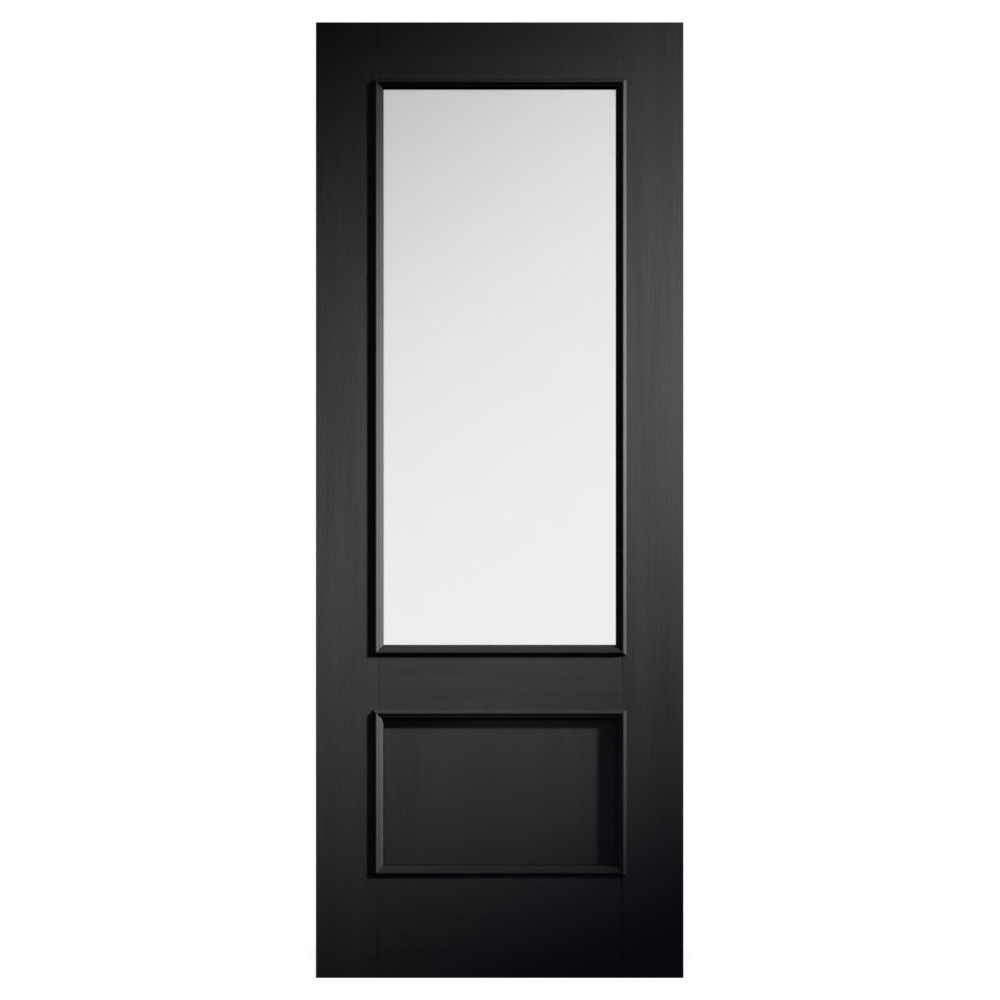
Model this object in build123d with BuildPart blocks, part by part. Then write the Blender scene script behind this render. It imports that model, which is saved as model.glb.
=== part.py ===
from build123d import *
import os

# A glazed interior door leaf: doweled solid-core frame, glass above, flat panel below.
# Millimetres. X runs across the leaf, Y through its thickness, Z up. The front faces -Y, and the
# origin is the middle of the bottom edge.

os.makedirs("parts", exist_ok=True)

# Leaf
leaf_width = 762
leaf_height = 1981
leaf_thickness = 35
arris = 1.0

# Frame members
stile_width = 128
top_rail_height = 127
middle_rail_height = 132
bottom_rail_height = 221
panel_opening_height = 325

# Layers of a member
face_thickness = 3
lipping_width = 9
joint_groove = 1.0

# Dowels between rails and stiles
dowel_diameter = 14
dowel_length = 120
dowel_edge_distance = 32
dowel_spacing = 78
dowel_clearance = 0.1
dowel_end_gap = 1.5

# Moulding section
moulding_overlap = 10
moulding_projection = 12
moulding_fit = 0.5
crest_height = 6.5
crest_offset = 3.1
bead_radius = 3.5
bead_outer_angle = 22
bead_inner_angle = 140
quirk_offset = 2.8
quirk_height = 3.5
toe_height = 1.2
sight_edge = 3.5

# Panel
panel_thickness = 10
panel_side_gap = 1.5
panel_top_gap = 3
panel_groove_width = 1.5
panel_groove_depth = 1.0

# Glass, its tape and its blocks
glass_thickness = 4
glass_edge_gap = 3
glass_arris = 0.5
tape_width = 8
block_length = 60
block_width = 8

# Brads through the back mouldings
brad_length = 30
brad_width = 1.3
brad_thickness = 1.0
brad_head_width = 2.1
brad_head_height = 0.8
brad_point = 1.2
brad_setback = 2.5
brad_depth = 8.5
brad_clearance = 0.1
brad_corner_distance = 50
brad_spacing = 290

# Sizes that follow
half_width = leaf_width / 2
half_thickness = leaf_thickness / 2
opening_width = leaf_width - 2 * stile_width
half_opening = opening_width / 2
core_thickness = leaf_thickness - 2 * face_thickness
panel_opening_bottom = bottom_rail_height
middle_rail_bottom = panel_opening_bottom + panel_opening_height
glass_opening_bottom = middle_rail_bottom + middle_rail_height
top_rail_bottom = leaf_height - top_rail_height
glass_opening_height = top_rail_bottom - glass_opening_bottom
leg_depth = (leaf_thickness - panel_thickness) / 2
tape_thickness = (panel_thickness - glass_thickness) / 2

FRONT, BACK = -1, 1
OUTWARD = {
    "left": Vector(-1, 0, 0),
    "right": Vector(1, 0, 0),
    "top": Vector(0, 0, 1),
    "bottom": Vector(0, 0, -1),
}


class Opening:
    """A rectangular opening between the stiles, closed by the glass or the panel."""

    def __init__(self, bottom, height):
        self.centre = Vector(0, 0, bottom + height / 2)
        self.half_height = height / 2

    def reach(self, side):
        """Distance from the centre to the frame's edge on that side."""
        return half_opening if side in ("left", "right") else self.half_height

    def half_run(self, side):
        """Half the length of the frame's edge on that side."""
        return self.half_height if side in ("left", "right") else half_opening

    def edge(self, side, face):
        """Plane at the middle of one edge: x points away from the opening, y out of the face."""
        outward = OUTWARD[side]
        proud = Vector(0, face, 0)
        middle = self.centre + outward * self.reach(side) + proud * half_thickness
        return Plane(middle, x_dir=outward, z_dir=outward.cross(proud))


glass_opening = Opening(glass_opening_bottom, glass_opening_height)
panel_opening = Opening(panel_opening_bottom, panel_opening_height)


def save(piece, name):
    """Label a finished piece and write it to its own file."""
    piece.label = name
    export_step(piece, f"parts/{name}.step")


def evenly(first, last, spacing):
    """Places from first to last, at most about one spacing apart."""
    steps = max(1, round((last - first) / spacing))
    return [first + (last - first) * step / steps for step in range(steps + 1)]


# Dowels

RAILS = {
    "top_rail": (top_rail_bottom, top_rail_height),
    "middle_rail": (middle_rail_bottom, middle_rail_height),
    "bottom_rail": (0, bottom_rail_height),
}


def dowel_planes(rail, side):
    """Planes on one end of a rail, one for each dowel, facing out into the stile."""
    bottom, height = RAILS[rail]
    outward = OUTWARD[side]
    heights = evenly(bottom + dowel_edge_distance, bottom + height - dowel_edge_distance, dowel_spacing)
    return [Plane(outward * half_opening + Vector(0, 0, z), z_dir=outward) for z in heights]


def cut_dowel_holes(planes):
    """Cut the dowel holes of one joint, the same depth into rail and stile."""
    with Locations(*planes):
        Cylinder(
            dowel_diameter / 2 + dowel_clearance,
            dowel_length + 2 * dowel_end_gap,
            mode=Mode.SUBTRACT,
        )


def dowels(rail):
    """All dowels of one rail, both ends."""
    with BuildPart() as group:
        for side in ("left", "right"):
            with Locations(*dowel_planes(rail, side)):
                Cylinder(dowel_diameter / 2, dowel_length)
    return group.part


# Brads

def brad_shape(opening, side, clearance):
    """T-headed brads with a chisel point, on one side of the back, grown by a clearance."""
    edge = opening.edge(side, BACK)
    head = edge.origin - edge.x_dir * (moulding_projection - brad_setback) - edge.y_dir * brad_depth
    reach = opening.half_run(side) - brad_corner_distance
    neck = brad_width / 2 + clearance
    with BuildPart() as shape:
        for place in evenly(-reach, reach, brad_spacing):
            with BuildSketch(Plane(head + edge.z_dir * place, x_dir=edge.z_dir, z_dir=edge.y_dir)):
                with BuildLine():
                    half = Polyline(
                        (0, -clearance),
                        (-brad_head_width / 2 - clearance, -clearance),
                        (-brad_head_width / 2 - clearance, brad_head_height + clearance),
                        (-neck, brad_head_height + clearance),
                        (-neck, brad_length - brad_point),
                        (0, brad_length + clearance),
                    )
                    mirror(half, about=Plane.YZ)
                make_face()
            extrude(amount=brad_thickness / 2 + clearance, both=True)
    return shape.part


def cut_brad_holes(opening, side):
    """Cut the holes of one side's brads in whatever is being built."""
    add(brad_shape(opening, side, brad_clearance), mode=Mode.SUBTRACT)


def brads(opening):
    """All brads that hold the back mouldings of one opening."""
    with BuildPart() as group:
        for side in OUTWARD:
            add(brad_shape(opening, side, 0))
    return group.part


# Cores of the frame

with BuildPart() as left_stile_core:
    with BuildSketch(Plane.XY):
        with Locations((-half_width + lipping_width, 0)):
            Rectangle(
                stile_width - lipping_width, core_thickness, align=(Align.MIN, Align.CENTER)
            )
    extrude(amount=leaf_height)
    for rail in RAILS:
        cut_dowel_holes(dowel_planes(rail, "left"))
    cut_brad_holes(glass_opening, "left")
    cut_brad_holes(panel_opening, "left")

with BuildPart() as right_stile_core:
    mirror(left_stile_core.part, about=Plane.YZ)

save(left_stile_core.part, "left_stile_core")
save(right_stile_core.part, "right_stile_core")


def rail_core(rail, nailed_edges):
    """One rail's core, with dowel holes in its ends and brad holes in its edges."""
    bottom, height = RAILS[rail]
    with BuildPart() as core:
        with BuildSketch(Plane.XY.offset(bottom)):
            Rectangle(opening_width, core_thickness)
        extrude(amount=height)
        for side in ("left", "right"):
            cut_dowel_holes(dowel_planes(rail, side))
        for opening, side in nailed_edges:
            cut_brad_holes(opening, side)
    return core.part


save(rail_core("top_rail", [(glass_opening, "top")]), "top_rail_core")
save(
    rail_core("middle_rail", [(glass_opening, "bottom"), (panel_opening, "top")]),
    "middle_rail_core",
)
save(rail_core("bottom_rail", [(panel_opening, "bottom")]), "bottom_rail_core")

for rail in RAILS:
    save(dowels(rail), f"{rail}_dowels")


# Lippings along the outside of the stiles

with BuildPart() as left_lipping:
    with BuildSketch(Plane.XY):
        with Locations((-half_width, 0)):
            Rectangle(lipping_width, core_thickness, align=(Align.MIN, Align.CENTER))
    extrude(amount=leaf_height)

with BuildPart() as right_lipping:
    mirror(left_lipping.part, about=Plane.YZ)

save(left_lipping.part, "left_stile_lipping")
save(right_lipping.part, "right_stile_lipping")


# Woodgrain faces

def front_edge(board, side):
    """The edge of a board's front surface on one side."""
    outline = board.faces().sort_by(Axis.Y)[0].edges()
    along = outline.sort_by(Axis.X if side in ("left", "right") else Axis.Z)
    return along[0] if side in ("left", "bottom") else along[-1]


def member_face(left, right, bottom, top, eased, grooved):
    """A front face: rounded where it ends at the leaf's outside, grooved where it meets another."""
    with BuildPart() as board:
        with BuildSketch(Plane.XZ.offset(half_thickness - face_thickness)):
            with Locations(((left + right) / 2, (bottom + top) / 2)):
                Rectangle(right - left, top - bottom)
        extrude(amount=face_thickness)
        chamfer([front_edge(board, side) for side in grooved], joint_groove)
        if eased:
            fillet([front_edge(board, side) for side in eased], arris)
    return board.part


def other_side(piece, plane):
    """The same piece turned over to the other side of a plane of symmetry."""
    with BuildPart() as copy:
        mirror(piece, about=plane)
    return copy.part


stile_face = member_face(
    -half_width, -half_opening, 0, leaf_height, ("left", "bottom", "top"), ("right",)
)
faces = {
    "left_stile": stile_face,
    "right_stile": other_side(stile_face, Plane.YZ),
}
rail_easing = {"top_rail": ("top",), "middle_rail": (), "bottom_rail": ("bottom",)}
for rail, (bottom, height) in RAILS.items():
    faces[rail] = member_face(
        -half_opening, half_opening, bottom, bottom + height, rail_easing[rail], ("left", "right")
    )

for member, face in faces.items():
    save(face, f"{member}_front_face")
    save(other_side(face, Plane.XZ), f"{member}_back_face")


# Mitred mouldings

def moulding_section():
    """Raised moulding: a toe on the frame, a bead at the crest, an ovolo down to the pane."""
    bead_height = crest_height - bead_radius
    toe = (moulding_overlap, toe_height)
    sight_line = (-moulding_projection, sight_edge - leg_depth)
    with BuildLine() as section:
        bead = CenterArc(
            (crest_offset, bead_height),
            bead_radius,
            bead_outer_angle,
            bead_inner_angle - bead_outer_angle,
        )
        TangentArc(bead @ 0, toe, tangent=bead % 0 * -1)
        quirk = TangentArc(bead @ 1, (-quirk_offset, quirk_height), tangent=bead % 1)
        TangentArc(sight_line, quirk @ 1, tangent=(0, 1))
        Polyline(
            sight_line,
            (-moulding_projection, -leg_depth),
            (-moulding_fit, -leg_depth),
            (-moulding_fit, 0),
            (moulding_overlap, 0),
            toe,
        )
    return section.line


def moulding(opening, side, face):
    """One length of moulding, mitred at both ends where it meets its neighbours."""
    edge = opening.edge(side, face)
    half_run = opening.half_run(side)
    with BuildPart() as length:
        with BuildSketch(edge):
            with BuildLine():
                add(moulding_section())
            make_face()
        extrude(amount=half_run + moulding_overlap, both=True)
        for end in (-1, 1):
            corner = edge.origin + edge.z_dir * (half_run * end)
            mitre = Plane(corner, z_dir=edge.z_dir * end - edge.x_dir)
            split(bisect_by=mitre, keep=Keep.BOTTOM)
        if face == BACK:
            cut_brad_holes(opening, side)
    return length.part


for name, opening in (("glass", glass_opening), ("panel", panel_opening)):
    for side in OUTWARD:
        save(moulding(opening, side, FRONT), f"front_{name}_moulding_{side}")
        save(moulding(opening, side, BACK), f"back_{name}_moulding_{side}")
    save(brads(opening), f"{name}_moulding_brads")


# Lower panel, standing on the bottom rail, with a fine groove where it meets the mouldings

field_width = opening_width - 2 * moulding_projection
field_height = panel_opening_height - 2 * moulding_projection

with BuildPart() as lower_panel:
    with BuildSketch(Plane.XY.offset(panel_opening_bottom)):
        Rectangle(opening_width - 2 * panel_side_gap, panel_thickness)
    extrude(amount=panel_opening_height - panel_top_gap)
    for face in (FRONT, BACK):
        proud = Vector(0, face, 0)
        surface = panel_opening.centre + proud * (panel_thickness / 2)
        with BuildSketch(Plane(surface, x_dir=OUTWARD["right"], z_dir=proud)):
            Rectangle(field_width, field_height)
            Rectangle(
                field_width - 2 * panel_groove_width,
                field_height - 2 * panel_groove_width,
                mode=Mode.SUBTRACT,
            )
        extrude(amount=-panel_groove_depth, mode=Mode.SUBTRACT)

save(lower_panel.part, "lower_panel")


# Glass with its tape and blocks

glass_width = opening_width - 2 * glass_edge_gap
glass_height = glass_opening_height - 2 * glass_edge_gap
glass_bottom = glass_opening_bottom + glass_edge_gap

with BuildPart() as glass_pane:
    with BuildSketch(Plane.XY.offset(glass_bottom)):
        Rectangle(glass_width, glass_thickness)
    extrude(amount=glass_height)
    chamfer(glass_pane.edges(), glass_arris)

save(glass_pane.part, "glass_pane")


def tape_strip(side):
    """A front strip of tape, flush with the glass edge. The upright strips run full height."""
    upright = side in ("left", "right")
    length = glass_height if upright else glass_width - 2 * tape_width
    reach = (glass_width if upright else glass_height) / 2 - tape_width / 2
    middle = glass_opening.centre + OUTWARD[side] * reach
    with BuildPart() as strip:
        with BuildSketch(Plane.XZ.offset(glass_thickness / 2)):
            with Locations((middle.X, middle.Z)):
                Rectangle(tape_width if upright else length, length if upright else tape_width)
        extrude(amount=tape_thickness)
    return strip.part


for side in OUTWARD:
    strip = tape_strip(side)
    save(strip, f"front_glazing_tape_{side}")
    save(other_side(strip, Plane.XZ), f"back_glazing_tape_{side}")


def blocks(side):
    """A pair of blocks between frame and glass, at the quarter points of one side."""
    edge = glass_opening.edge(side, FRONT)
    quarter = glass_opening.half_run(side) / 2
    frame_edge = edge.origin - edge.y_dir * half_thickness
    seats = [
        Plane(frame_edge + edge.z_dir * place, x_dir=edge.z_dir, z_dir=edge.x_dir * -1)
        for place in (-quarter, quarter)
    ]
    with BuildPart() as pair:
        for seat in seats:
            with BuildSketch(seat):
                Rectangle(block_length, block_width)
            extrude(amount=glass_edge_gap)
    return pair.part


save(blocks("bottom"), "glass_setting_blocks")

with BuildPart() as location_blocks:
    for side in ("left", "right", "top"):
        add(blocks(side))

save(location_blocks.part, "glass_location_blocks")
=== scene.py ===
"""Finishes, studio and camera for a glazed interior door leaf. Metres, Z up, front towards -Y."""

import logging
import math
from dataclasses import dataclass
from enum import Enum

import bpy
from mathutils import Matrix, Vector

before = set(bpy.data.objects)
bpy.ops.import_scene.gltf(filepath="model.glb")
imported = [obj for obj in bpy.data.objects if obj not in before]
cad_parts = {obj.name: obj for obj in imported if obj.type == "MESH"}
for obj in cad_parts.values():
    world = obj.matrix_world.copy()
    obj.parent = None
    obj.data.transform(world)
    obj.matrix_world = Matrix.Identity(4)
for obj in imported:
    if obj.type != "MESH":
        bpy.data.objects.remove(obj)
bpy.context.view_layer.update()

Colour = tuple[float, float, float]
Point = tuple[float, float, float]
Range = tuple[float, float]
Socket = bpy.types.NodeSocket

WHITE: Colour = (1.0, 1.0, 1.0)
NOISE_RANGE: Range = (0.3, 0.7)

log = logging.getLogger("door")


class Grain(Enum):
    """The way the grain runs in a piece: 1 on each axis across it, 0 on the axis along it."""

    UPRIGHT = (1.0, 1.0, 0.0)
    LEVEL = (0.0, 1.0, 1.0)

    def scale(self, stretch: float) -> Point:
        """Give the pattern's scale on each axis.

        Args:
            stretch: How many times longer than wide the grain is.

        Returns:
            The scale on X, Y and Z, small along the grain.
        """
        along = 1.0 / stretch
        return tuple(1.0 if across else along for across in self.value)


class Side(Enum):
    """A side of the leaf, as the sign of Y there."""

    FRONT = -1
    BACK = 1

    @property
    def label(self) -> str:
        """The side's name as object names write it."""
        return self.name.lower()

    def turned(self, place: Vector, made_for: "Side") -> Vector:
        """Turn a place half round about Z where it was given for the other side.

        Args:
            place: The place.
            made_for: The side that it was given for.

        Returns:
            The place on this side.
        """
        sign = 1 if self is made_for else -1
        return place * Vector((sign, sign, 1))


class Reach(Enum):
    """What lights fall on, by Blender's name for it: some things alone, or all but them."""

    ONLY = "INCLUDE"
    ALL_BUT = "EXCLUDE"


class Nodes:
    """A node tree, with short calls to add and join nodes."""

    # A Mix node's colour sockets come after those for numbers and vectors
    MIX_FACTOR, MIX_ONE, MIX_TWO, MIX_RESULT = 0, 6, 7, 2
    # Bounces are counted in whole numbers, so fewer than this is none
    HALF_BOUNCE = 0.5

    def __init__(self, tree: bpy.types.NodeTree) -> None:
        """Empty the tree.

        Args:
            tree: The tree to fill.
        """
        self.tree = tree
        self.tree.nodes.clear()

    def add(self, kind: str, settings: dict | None = None, **inputs: object) -> bpy.types.Node:
        """Add a node.

        Args:
            kind: Blender's name for the node.
            settings: Properties of the node itself.
            inputs: Socket values by name, with underscores for spaces. A socket is joined.

        Returns:
            The new node.
        """
        node = self.tree.nodes.new(kind)
        for key, value in (settings or {}).items():
            setattr(node, key, value)
        for key, value in inputs.items():
            self.feed(node.inputs[key.replace("_", " ")], value)
        return node

    def feed(self, socket: Socket, value: object) -> None:
        """Join a socket to another, or set its value.

        Args:
            socket: The input to feed.
            value: A socket to join it to, or a plain value.
        """
        if isinstance(value, Socket):
            self.tree.links.new(value, socket)
        elif isinstance(value, tuple) and socket.type == "RGBA":
            socket.default_value = (*value, 1.0)
        else:
            socket.default_value = value

    def work_out(self, operation: str, *values: object) -> Socket:
        """Add a sum.

        Args:
            operation: Blender's name for it.
            values: Its inputs in order, sockets or plain numbers.

        Returns:
            The result.
        """
        step = self.add("ShaderNodeMath", {"operation": operation})
        for socket, value in zip(step.inputs, values):
            self.feed(socket, value)
        return step.outputs[0]

    def add_up(self, parts: list[tuple[Socket, float]]) -> Socket:
        """Add values up, each with its share.

        Args:
            parts: Values and what each is multiplied by.

        Returns:
            The sum.
        """
        total: object = 0.0
        for value, share in parts:
            total = self.work_out("MULTIPLY_ADD", value, share, total)
        return total

    def place(self, grain: Grain, stretch: float) -> Socket:
        """Give the piece's own coordinates, drawn out along the grain.

        Args:
            grain: The way the grain runs.
            stretch: How many times longer than wide the pattern is.

        Returns:
            The vector to feed a texture.
        """
        place = self.add("ShaderNodeTexCoord").outputs["Object"]
        return self.add("ShaderNodeMapping", Vector=place, Scale=grain.scale(stretch)).outputs[0]

    def noise(
        self, vector: Socket, size: float, detail: float = 3.0, twist: float = 0.0
    ) -> Socket:
        """Add a noise texture.

        Args:
            vector: Where to read it.
            size: Width of its features, in metres.
            detail: Finer layers on top of the first.
            twist: How far the features are distorted.

        Returns:
            The noise from 0 to 1.
        """
        noise = self.add(
            "ShaderNodeTexNoise", Vector=vector, Scale=1 / size, Detail=detail, Distortion=twist
        )
        return noise.outputs["Fac"]

    def steps(self, value: Socket, span: Range, out: Range) -> Socket:
        """Map a range of a value smoothly to another.

        Args:
            value: The value to map.
            span: Where the range starts and ends.
            out: What its start and end become.

        Returns:
            The mapped value, kept between the two ends.
        """
        step = self.add(
            "ShaderNodeMapRange",
            {"interpolation_type": "SMOOTHSTEP"},
            Value=value,
            From_Min=span[0],
            From_Max=span[1],
            To_Min=out[0],
            To_Max=out[1],
        )
        return step.outputs["Result"]

    def bump(self, height: Socket, strength: float, relief: float) -> Socket:
        """Raise the surface in its shading.

        Args:
            height: The pattern that rises.
            strength: How much of it shows.
            relief: How high it rises, in metres.

        Returns:
            The normal to feed a shader.
        """
        bump = self.add("ShaderNodeBump", Height=height, Strength=strength, Distance=relief)
        return bump.outputs[0]

    def blend(self, fac: Socket, one: Colour, two: Colour) -> Socket:
        """Blend two colours.

        Args:
            fac: 0 for the first colour, 1 for the second.
            one: The first colour.
            two: The second colour.

        Returns:
            The blended colour.
        """
        mix = self.add("ShaderNodeMix", {"data_type": "RGBA"})
        self.feed(mix.inputs[self.MIX_FACTOR], fac)
        self.feed(mix.inputs[self.MIX_ONE], one)
        self.feed(mix.inputs[self.MIX_TWO], two)
        return mix.outputs[self.MIX_RESULT]

    def either(self, fac: Socket, one: Socket, two: Socket) -> Socket:
        """Choose between two shaders.

        Args:
            fac: 0 for the first shader, 1 for the second.
            one: The first shader.
            two: The second shader.

        Returns:
            The chosen shader.
        """
        mix = self.add("ShaderNodeMixShader", Fac=fac)
        self.feed(mix.inputs[1], one)
        self.feed(mix.inputs[2], two)
        return mix.outputs[0]

    def both(self, one: Socket, two: Socket) -> Socket:
        """Add two shaders together.

        Args:
            one: The first shader.
            two: The second shader.

        Returns:
            Their sum.
        """
        pair = self.add("ShaderNodeAddShader")
        self.feed(pair.inputs[0], one)
        self.feed(pair.inputs[1], two)
        return pair.outputs[0]

    def sight(self) -> tuple[Socket, Socket]:
        """Tell the rays that see the studio from the rays that gather its light.

        Returns:
            1 for a ray from the eye, and 1 for one from the eye that has passed through the pane.
        """
        rays = self.add("ShaderNodeLightPath").outputs
        bounces = self.work_out("ADD", rays["Diffuse Depth"], rays["Glossy Depth"])
        straight = self.work_out("LESS_THAN", bounces, self.HALF_BOUNCE)
        through = self.work_out("MULTIPLY", straight, rays["Is Transmission Ray"])
        return rays["Is Camera Ray"], through


class MaterialNodes(Nodes):
    """The node tree of one material."""

    def __init__(self, name: str) -> None:
        """Start an empty material.

        Args:
            name: The material's name.
        """
        self.material = bpy.data.materials.new(name)
        self.material.use_nodes = True
        super().__init__(self.material.node_tree)

    def finish(self, shader: Socket) -> bpy.types.Material:
        """Join the surface shader and give the material back."""
        self.add("ShaderNodeOutputMaterial", Surface=shader)
        return self.material


@dataclass(frozen=True)
class Woodgrain:
    """Black satin paint over open-grained wood."""

    name: str
    grain: Grain
    dark: Colour = (0.0158, 0.0154, 0.0163)
    light: Colour = (0.0214, 0.0209, 0.0219)
    roughness: Range = (0.62, 0.70)
    sheen_level: float = 0.5
    figure_size: float = 0.045
    figure_stretch: float = 16.0
    figure_twist: float = 0.6
    figure_share: float = 0.5
    line_size: float = 0.0042
    line_stretch: float = 60.0
    line_share: float = 0.5
    tone_edge: Range = (0.34, 0.66)
    pore_size: float = 0.0013
    pore_stretch: float = 28.0
    pore_detail: float = 1.0
    pore_edge: Range = (0.56, 0.70)
    line_relief: float = 0.55
    pore_relief: float = 0.45
    relief: float = 0.00022
    relief_strength: float = 0.8

    def material(self) -> bpy.types.Material:
        """Build the material.

        Returns:
            A material whose colour, roughness and relief follow the grain.
        """
        nodes = MaterialNodes(self.name)
        figure_place = nodes.place(self.grain, self.figure_stretch)
        figure = nodes.noise(figure_place, self.figure_size, twist=self.figure_twist)
        lines = nodes.noise(nodes.place(self.grain, self.line_stretch), self.line_size)
        pore_place = nodes.place(self.grain, self.pore_stretch)
        pores = nodes.noise(pore_place, self.pore_size, self.pore_detail)
        pits = nodes.steps(pores, self.pore_edge, (1.0, 0.0))
        tone = nodes.add_up([(figure, self.figure_share), (lines, self.line_share)])
        tone = nodes.steps(tone, self.tone_edge, (0.0, 1.0))
        height = nodes.add_up([(lines, self.line_relief), (pits, self.pore_relief)])
        surface = nodes.add(
            "ShaderNodeBsdfPrincipled",
            Base_Color=nodes.blend(tone, self.dark, self.light),
            Roughness=nodes.steps(tone, (0.0, 1.0), self.roughness),
            Specular_IOR_Level=self.sheen_level,
            Normal=nodes.bump(height, self.relief_strength, self.relief),
        )
        return nodes.finish(surface.outputs[0])


@dataclass(frozen=True)
class MouldingGrain(Woodgrain):
    """The same paint over the mouldings' finer grain."""

    figure_size: float = 0.02
    line_size: float = 0.0022
    relief: float = 0.00012


@dataclass(frozen=True)
class SealedCore:
    """Glued timber strips with their ends sealed dark."""

    name: str = "sealed core timber"
    dark: Colour = (0.020, 0.017, 0.015)
    light: Colour = (0.040, 0.034, 0.029)
    roughness: Range = (0.75, 0.9)
    strip_width: float = 0.032
    strip_share: float = 0.6
    fibre_size: float = 0.0012
    fibre_detail: float = 2.0
    fibre_share: float = 0.4
    relief: float = 0.0002
    relief_strength: float = 0.5

    def material(self) -> bpy.types.Material:
        """Build the material.

        Returns:
            A material with strips across the leaf and fine fibre in each.
        """
        nodes = MaterialNodes(self.name)
        place = nodes.add("ShaderNodeTexCoord").outputs["Object"]
        across = nodes.add("ShaderNodeSeparateXYZ", Vector=place).outputs["X"]
        strip = nodes.work_out("SNAP", across, self.strip_width)
        shade = nodes.add("ShaderNodeTexWhiteNoise", {"noise_dimensions": "1D"}, W=strip)
        fibre = nodes.noise(place, self.fibre_size, self.fibre_detail)
        tone = nodes.add_up(
            [(shade.outputs["Value"], self.strip_share), (fibre, self.fibre_share)]
        )
        surface = nodes.add(
            "ShaderNodeBsdfPrincipled",
            Base_Color=nodes.blend(tone, self.dark, self.light),
            Roughness=nodes.steps(fibre, NOISE_RANGE, self.roughness),
            Normal=nodes.bump(fibre, self.relief_strength, self.relief),
        )
        return nodes.finish(surface.outputs[0])


@dataclass(frozen=True)
class SatinGlass:
    """Pale satin-etched glass that blurs what is beyond it."""

    name: str = "satin glass"
    tint: Colour = (0.995, 0.995, 0.995)
    clear: float = 1.0
    refraction: float = 1.5
    roughness: Range = (0.34, 0.40)
    etch_size: float = 0.004
    relief: float = 0.00004
    relief_strength: float = 0.3

    def material(self) -> bpy.types.Material:
        """Build the material.

        Returns:
            A see-through material, rough all over with a fine etch.
        """
        nodes = MaterialNodes(self.name)
        place = nodes.add("ShaderNodeTexCoord").outputs["Object"]
        etch = nodes.noise(place, self.etch_size)
        pane = nodes.add(
            "ShaderNodeBsdfPrincipled",
            Base_Color=self.tint,
            Roughness=nodes.steps(etch, NOISE_RANGE, self.roughness),
            IOR=self.refraction,
            Transmission_Weight=self.clear,
            Normal=nodes.bump(etch, self.relief_strength, self.relief),
        )
        return nodes.finish(pane.outputs[0])


@dataclass(frozen=True)
class Plain:
    """A small plain part's finish, with a fine mottle."""

    name: str
    dark: Colour
    light: Colour
    roughness: Range
    metallic: float = 0.0
    mottle: float = 0.002
    grain: Grain = Grain.UPRIGHT
    stretch: float = 1.0
    relief: float = 0.0001
    relief_strength: float = 0.3

    def material(self) -> bpy.types.Material:
        """Build the material.

        Returns:
            A material whose colour and roughness vary a little.
        """
        nodes = MaterialNodes(self.name)
        mottle = nodes.noise(nodes.place(self.grain, self.stretch), self.mottle)
        surface = nodes.add(
            "ShaderNodeBsdfPrincipled",
            Base_Color=nodes.blend(mottle, self.dark, self.light),
            Roughness=nodes.steps(mottle, NOISE_RANGE, self.roughness),
            Metallic=self.metallic,
            Normal=nodes.bump(mottle, self.relief_strength, self.relief),
        )
        return nodes.finish(surface.outputs[0])


class Assembly:
    """A group of the leaf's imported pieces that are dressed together."""

    title: str = "assembly"

    def finishes(self) -> dict[str, bpy.types.Material]:
        """Give the material of each piece by its node name."""
        raise NotImplementedError

    def dress(self) -> None:
        """Put each piece's material in its slots."""
        for node, material in self.finishes().items():
            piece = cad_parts[node]
            if not piece.material_slots:
                piece.data.materials.append(material)
            for slot in piece.material_slots:
                slot.material = material
            log.info("%s: %s in %s", self.title, node, material.name)


@dataclass
class Leaf(Assembly):
    """The frame members with their faces, lippings and cores, and the lower panel."""

    title: str = "leaf"
    stiles: tuple[str, ...] = ("left_stile", "right_stile")
    rails: tuple[str, ...] = ("top_rail", "middle_rail", "bottom_rail")
    upright: Woodgrain = Woodgrain("black woodgrain upright", Grain.UPRIGHT)
    level: Woodgrain = Woodgrain("black woodgrain level", Grain.LEVEL)
    lipping: Woodgrain = Woodgrain(
        "black lipping", Grain.UPRIGHT, figure_size=0.02, relief=0.00015
    )
    core: SealedCore = SealedCore()

    def finishes(self) -> dict[str, bpy.types.Material]:
        """Give faces their grain along each member, and cores their sealed ends."""
        upright = self.upright.material()
        level = self.level.material()
        lipping = self.lipping.material()
        core = self.core.material()
        made = {"lower_panel": upright}
        for members, faces in ((self.stiles, upright), (self.rails, level)):
            for member in members:
                made[f"{member}_front_face"] = faces
                made[f"{member}_back_face"] = faces
                made[f"{member}_core"] = core
        for stile in self.stiles:
            made[f"{stile}_lipping"] = lipping
        return made


@dataclass
class Mouldings(Assembly):
    """The mitred mouldings round the glass and the panel, front and back."""

    title: str = "mouldings"
    upright: Woodgrain = MouldingGrain("black moulding upright", Grain.UPRIGHT)
    # Painted shade: the level lengths have darker paint and less sheen than the upright ones,
    # those round the glass most, so they read darker than the lamps make them
    glass_level: Woodgrain = MouldingGrain(
        "black glass moulding level",
        Grain.LEVEL,
        dark=(0.0080, 0.0078, 0.0083),
        light=(0.0110, 0.0107, 0.0113),
        sheen_level=0.26,
    )
    panel_level: Woodgrain = MouldingGrain(
        "black panel moulding level",
        Grain.LEVEL,
        dark=(0.0122, 0.0119, 0.0126),
        light=(0.0168, 0.0164, 0.0172),
        sheen_level=0.42,
    )

    def finishes(self) -> dict[str, bpy.types.Material]:
        """Give each length its grain along its run, and the level lengths their darker paint of
        painted shade.
        """
        upright = self.upright.material()
        painted_shade_levels = {"glass": self.glass_level.material(), "panel": self.panel_level.material()}
        made = {}
        # The level lengths take the paint darkened as painted shade
        for opening, level in painted_shade_levels.items():
            for side in Side:
                run = f"{side.label}_{opening}_moulding"
                made[f"{run}_left"] = made[f"{run}_right"] = upright
                made[f"{run}_top"] = made[f"{run}_bottom"] = level
        return made


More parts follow.
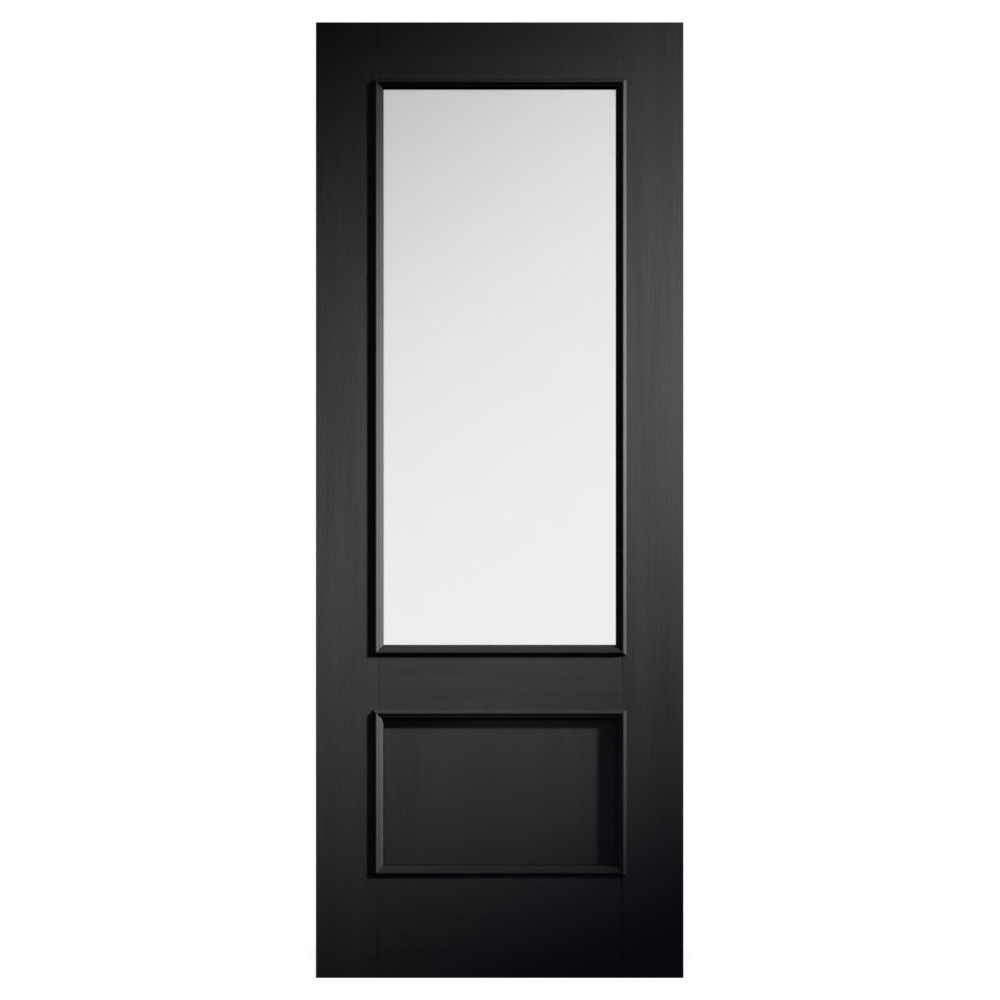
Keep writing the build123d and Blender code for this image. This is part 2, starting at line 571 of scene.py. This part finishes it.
@dataclass
class Glazing(Assembly):
    """The pane with its tape and blocks."""

    title: str = "glazing"
    satin: SatinGlass = SatinGlass()
    tape: Plain = Plain(
        "black foam tape",
        dark=(0.012, 0.012, 0.012),
        light=(0.03, 0.03, 0.03),
        roughness=(0.85, 0.95),
    )
    block: Plain = Plain(
        "grey block plastic",
        dark=(0.08, 0.08, 0.085),
        light=(0.11, 0.11, 0.115),
        roughness=(0.45, 0.55),
    )

    def finishes(self) -> dict[str, bpy.types.Material]:
        """Give the pane its satin, the tape its foam and the blocks their plastic."""
        tape = self.tape.material()
        block = self.block.material()
        made = {"glass_pane": self.satin.material()}
        for side in Side:
            for edge in ("left", "right", "top", "bottom"):
                made[f"{side.label}_glazing_tape_{edge}"] = tape
        made["glass_setting_blocks"] = block
        made["glass_location_blocks"] = block
        return made


@dataclass
class Fixings(Assembly):
    """The dowels and the brads."""

    title: str = "fixings"
    beech: Plain = Plain(
        "beech dowel",
        dark=(0.50, 0.34, 0.20),
        light=(0.66, 0.49, 0.32),
        roughness=(0.55, 0.7),
        grain=Grain.LEVEL,
        stretch=20.0,
    )
    steel: Plain = Plain(
        "bright brad steel",
        dark=(0.52, 0.52, 0.53),
        light=(0.62, 0.62, 0.63),
        roughness=(0.3, 0.42),
        metallic=1.0,
    )

    def finishes(self) -> dict[str, bpy.types.Material]:
        """Give the dowels beech along their length and the brads bright steel."""
        beech = self.beech.material()
        steel = self.steel.material()
        made = {f"{rail}_rail_dowels": beech for rail in ("top", "middle", "bottom")}
        made["glass_moulding_brads"] = steel
        made["panel_moulding_brads"] = steel
        return made


@dataclass(frozen=True)
class ShadeCard:
    """A grey card beyond the pane, seen through it alone, that shades the satin glass's top."""

    away: float = 6.5
    edge_height: float = 2.16
    tilt: float = math.radians(34.0)
    brightness: float = 0.38
    width: float = 14.0
    height: float = 8.0

    def hang(self, side: Side) -> None:
        """Hang the card on one side of the leaf, for an eye on the other.

        Args:
            side: The side that the card hangs on.
        """
        up = Vector((-math.sin(self.tilt), 0, math.cos(self.tilt)))
        middle = Vector((0, self.away, self.edge_height)) + up * self.height / 2
        half_turn = 0 if side is Side.BACK else math.pi
        bpy.ops.object.select_all(action="DESELECT")
        bpy.ops.mesh.primitive_plane_add(
            size=1,
            location=side.turned(middle, made_for=Side.BACK),
            rotation=(math.pi / 2, -self.tilt, half_turn),
        )
        card = bpy.context.object
        card.name = f"{side.label}_shade_card"
        card.scale = (self.width, self.height, 1)
        nodes = MaterialNodes(f"{side.label} shade card")
        dim = nodes.add("ShaderNodeEmission", Color=WHITE, Strength=self.brightness)
        card.data.materials.append(nodes.finish(dim.outputs[0]))
        card.visible_camera = False
        card.visible_diffuse = False
        card.visible_glossy = False
        card.visible_shadow = False


@dataclass(frozen=True)
class Spot:
    """A soft spot lamp on the front. Its twin, turned half round, lights the back."""

    name: str
    place: Point
    aim: Point
    watts: float
    radius: float
    cone: float
    blend: float = 1.0
    colour: Colour = WHITE

    def hang(self, side: Side) -> bpy.types.Object:
        """Hang the lamp on one side of the leaf.

        Args:
            side: The side that it lights.

        Returns:
            The lamp.
        """
        place = side.turned(Vector(self.place), made_for=Side.FRONT)
        beam = side.turned(Vector(self.aim), made_for=Side.FRONT) - place
        bpy.ops.object.light_add(type="SPOT", location=place)
        lamp = bpy.context.object
        lamp.name = f"{side.label}_{self.name}"
        lamp.rotation_euler = beam.to_track_quat("-Z", "Y").to_euler()
        lamp.data.energy = self.watts
        lamp.data.color = self.colour
        lamp.data.spot_size = math.radians(self.cone)
        lamp.data.spot_blend = self.blend
        lamp.data.shadow_soft_size = self.radius
        return lamp


@dataclass(frozen=True)
class EvenLight:
    """Light that shines down all over, and backwards where it is tilted."""

    name: str
    strength: float
    angle: float
    tilt: float = 0.0
    height: float = 4.0

    def hang(self) -> bpy.types.Object:
        """Hang the light and give it back."""
        bpy.ops.object.light_add(
            type="SUN", location=(0, 0, self.height), rotation=(self.tilt, 0, 0)
        )
        sun = bpy.context.object
        sun.name = self.name
        sun.data.energy = self.strength
        sun.data.angle = self.angle
        return sun


@dataclass
class Studio:
    """White floor and surround, soft lamps for each side, and the camera."""

    frame_height: float = 2.0727
    eye_height: float = 0.9908
    eye_side: float = 0.0007
    lens: float = 300.0
    sensor: float = 36.0
    far_end: float = 200.0
    leaf_front: float = -0.0175
    spots: tuple[Spot, ...] = (
        Spot(
            "lamp",
            place=(7.654, -2.527, 5.145),
            aim=(0.740, -0.0175, 1.458),
            watts=33300.0,
            radius=0.585,
            cone=7.43,
            blend=0.87,
            colour=(1.0, 1.0, 0.985),
        ),
        Spot(
            "panel_fill",
            place=(-0.6, -4.0, 0.25),
            aim=(0.05, -0.0175, 0.43),
            watts=46.0,
            radius=0.15,
            cone=8.6,
            colour=(0.98, 0.97, 0.94),
        ),
        Spot(
            "low_tint",
            place=(0.9, -4.0, 0.1),
            aim=(0.18, -0.0175, 0.12),
            watts=20.0,
            radius=0.15,
            cone=16.0,
            colour=(0.10, 0.0, 1.0),
        ),
    )
    top_light: EvenLight = EvenLight("top_light", strength=0.12, angle=math.radians(30))
    floor_light: EvenLight = EvenLight(
        "floor_light", strength=1.1, angle=math.radians(9), tilt=math.radians(32)
    )
    shade: ShadeCard = ShadeCard()
    ambient: Colour = (0.087, 0.0845, 0.098)
    floor_half: float = 14.0
    floor_pale: float = 0.90
    floor_grey: float = 0.02

    def floor(self) -> bpy.types.Object:
        """Lay the floor, white with the leaf's shadow to the camera and grey to light.

        Returns:
            The floor.
        """
        bpy.ops.object.select_all(action="DESELECT")
        bpy.ops.mesh.primitive_plane_add(size=2 * self.floor_half, location=(0, 0, 0))
        floor = bpy.context.object
        floor.name = "studio_floor"
        nodes = MaterialNodes("studio floor")
        eye, pane = nodes.sight()
        light = self.floor_light
        # How bright its light makes the pale floor. The rest of white is emitted
        lit = self.floor_pale * light.strength * math.cos(light.tilt) / math.pi
        grey = nodes.add("ShaderNodeBsdfDiffuse", Color=(self.floor_grey,) * 3)
        pale = nodes.add("ShaderNodeBsdfDiffuse", Color=(self.floor_pale,) * 3)
        rest = nodes.add("ShaderNodeEmission", Color=WHITE, Strength=1.0 - lit)
        white = nodes.add("ShaderNodeEmission", Color=WHITE, Strength=1.0)
        shown = nodes.both(pale.outputs[0], rest.outputs[0])
        seen = nodes.either(eye, grey.outputs[0], shown)
        surface = nodes.either(pane, seen, white.outputs[0])
        floor.data.materials.append(nodes.finish(surface))
        return floor

    def surround(self) -> None:
        """Make the world white where it is seen and dim where it lights."""
        world = bpy.data.worlds.new("studio surround")
        bpy.context.scene.world = world
        world.use_nodes = True
        nodes = Nodes(world.node_tree)
        seen = nodes.work_out("MAXIMUM", *nodes.sight())
        dim = nodes.add("ShaderNodeBackground", Color=self.ambient)
        white = nodes.add("ShaderNodeBackground", Color=WHITE)
        surface = nodes.either(seen, dim.outputs[0], white.outputs[0])
        nodes.add("ShaderNodeOutputWorld", Surface=surface)

    def lamps(self, floor: bpy.types.Object) -> None:
        """Light the front and, turned half round, the back, and light the floor by itself.

        The pane takes no lamp's light, so that the far mouldings cast no band across it.

        Args:
            floor: The floor, which only its own light reaches.
        """
        leaf_lights = [self.top_light.hang()]
        for spot in self.spots:
            leaf_lights += [spot.hang(side) for side in Side]
        self.link([self.floor_light.hang()], Reach.ONLY, [floor])
        self.link(leaf_lights, Reach.ALL_BUT, [floor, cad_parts["glass_pane"]])

    @staticmethod
    def link(
        lights: list[bpy.types.Object], reach: Reach, things: list[bpy.types.Object]
    ) -> None:
        """Set what lights fall on.

        Args:
            lights: The lights.
            reach: Whether they fall on these things alone, or on all but them.
            things: The things.
        """
        listed = bpy.data.collections.new(f"things {reach.value.lower()}d")
        for thing in things:
            listed.objects.link(thing)
        for held in listed.collection_objects:
            held.light_linking.link_state = reach.value
        for light in lights:
            light.light_linking.receiver_collection = listed

    def camera(self) -> None:
        """Stand a long lens square to the front, level with the picture's middle."""
        distance = self.frame_height * self.lens / self.sensor
        place = (self.eye_side, self.leaf_front - distance, self.eye_height)
        bpy.ops.object.camera_add(location=place, rotation=(math.pi / 2, 0, 0))
        camera = bpy.context.object
        camera.name = "camera"
        camera.data.lens = self.lens
        camera.data.sensor_width = self.sensor
        camera.data.clip_end = self.far_end
        bpy.context.scene.camera = camera

    def build(self) -> None:
        """Make the whole studio."""
        self.camera()
        floor = self.floor()
        self.surround()
        self.lamps(floor)
        for side in (Side.BACK, Side.FRONT):
            self.shade.hang(side)
        bpy.context.scene.view_settings.view_transform = "Standard"


def main() -> None:
    """Dress every piece of the leaf and set the studio round it."""
    logging.basicConfig(level=logging.INFO, format="%(name)s: %(message)s")
    bpy.ops.object.select_all(action="DESELECT")
    for assembly in (Leaf(), Mouldings(), Glazing(), Fixings()):
        assembly.dress()
    Studio().build()


if __name__ == "__main__":
    main()
